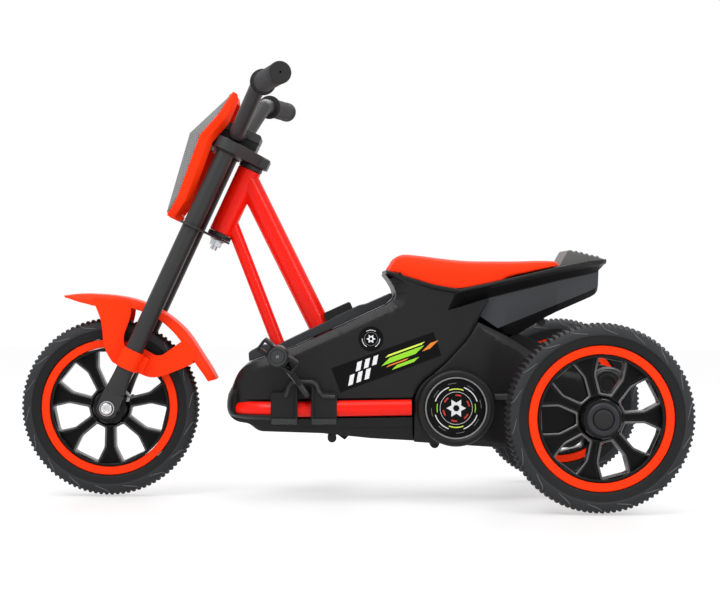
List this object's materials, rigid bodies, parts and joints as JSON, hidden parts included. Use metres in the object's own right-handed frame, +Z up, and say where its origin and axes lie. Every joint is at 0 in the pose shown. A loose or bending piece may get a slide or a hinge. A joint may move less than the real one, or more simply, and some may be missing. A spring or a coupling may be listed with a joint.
{
  "type": "children's tricycle",
  "caption": "Children's pedal tricycle with a raked twin-leg fork, a moulded body over an enclosed chain drive, a low seat and spoked plastic wheels.",
  "frame": {"origin": "on the ground, midway between the front and rear axles, in the middle plane", "axes": "+X towards the rear of the tricycle, +Y to the rider's right, +Z up"},
  "size_m": [0.924, 0.5154, 0.5922],
  "materials": {
    "red_paint": "gloss powder coat",
    "red_plastic": "moulded, satin gloss",
    "black_paint": "gloss powder coat",
    "black_plastic": "moulded, fine grain",
    "grey_plastic": "moulded, fine grain",
    "tyre_rubber": "matt foam rubber",
    "grip_rubber": "matt",
    "seat_foam": "smooth soft foam",
    "steel": "zinc plated"
  },
  "bodies": {
    "frame": {"head_tube": "red_paint", "head_cup_upper": "black_paint", "head_cup_lower": "black_paint", "down_tube": "red_paint", "front_strut": "red_paint", "side_rail": "red_paint", "keel_frame": "black_paint", "crank_bush_left": "grey_plastic", "crank_bush_right": "grey_plastic", "body_left": "black_plastic", "body_right": "black_plastic", "spine_cover": "grey_plastic", "rear_case_left": "black_plastic", "rear_case_right": "black_plastic", "seat_base": "black_plastic", "seat_pad": "seat_foam", "tail_grip": "grey_plastic", "side_disc_left": "black_plastic", "side_disc_right": "black_plastic", "crank_bracket_left": "black_plastic", "crank_bracket_right": "black_plastic", "axle_sleeve_left": "black_paint", "axle_sleeve_right": "black_paint", "axle_bush_left": "grey_plastic", "axle_bush_right": "grey_plastic", "chain": "steel"},
    "steering": {"fork_leg_left": "black_paint", "fork_leg_right": "black_paint", "upper_crown": "black_plastic", "lower_crown": "steel", "steering_stem": "steel", "stem_nut": "steel", "handlebar": "black_paint", "handlebar_clamp_base": "black_plastic", "handlebar_clamp_cap": "black_plastic", "grip_left": "grip_rubber", "grip_right": "grip_rubber", "front_fender": "red_plastic", "number_plate_shell": "red_plastic", "number_plate_face": "grey_plastic", "front_axle": "steel", "front_axle_nut": "steel"},
    "front_road_wheel": {"front_tyre": "tyre_rubber", "front_hoop": "red_plastic", "front_wheel": "black_plastic"},
    "driven_axle": {"rear_axle": "steel", "rear_sprocket": "steel", "rear_tyre_left": "tyre_rubber", "rear_hoop_left": "red_plastic", "rear_wheel_left": "black_plastic", "hub_cap_left": "black_plastic"},
    "free_wheel": {"rear_tyre_right": "tyre_rubber", "rear_hoop_right": "red_plastic", "rear_wheel_right": "black_plastic", "hub_cap_right": "black_plastic"},
    "crank_set": {"crank": "black_paint", "crank_sprocket": "steel"},
    "left_pedal": {"pedal_left": "black_plastic"},
    "right_pedal": {"pedal_right": "black_plastic"}
  },
  "joints": [
    {"name": "steering_turn", "type": "hinge", "parent": "frame", "child": "steering", "pos_m": [-0.15773, 0, 0.42506], "axis": [0.4147, 0, 0.91], "range_deg": [-45, 45]},
    {"name": "front_wheel_spin", "type": "hinge", "parent": "steering", "child": "front_road_wheel", "pos_m": [-0.335, 0, 0.127], "axis": [0, 1, 0], "continuous": true},
    {"name": "rear_axle_spin", "type": "hinge", "parent": "frame", "child": "driven_axle", "pos_m": [0.335, 0, 0.127], "axis": [0, 1, 0], "continuous": true},
    {"name": "free_wheel_spin", "type": "hinge", "parent": "frame", "child": "free_wheel", "pos_m": [0.335, 0, 0.127], "axis": [0, 1, 0], "continuous": true},
    {"name": "crank_spin", "type": "hinge", "parent": "frame", "child": "crank_set", "pos_m": [-0.054, 0, 0.15], "axis": [0, 1, 0], "continuous": true},
    {"name": "pedal_left_spin", "type": "hinge", "parent": "crank_set", "child": "left_pedal", "pos_m": [-0.093, -0.1575, 0.2057], "axis": [0, 1, 0], "continuous": true},
    {"name": "pedal_right_spin", "type": "hinge", "parent": "crank_set", "child": "right_pedal", "pos_m": [-0.015, 0.1575, 0.0943], "axis": [0, 1, 0], "continuous": true}
  ],
  "couplings": [
    {"joint": "crank_spin", "follows": "rear_axle_spin", "ratio": 0.61111}
  ]
}
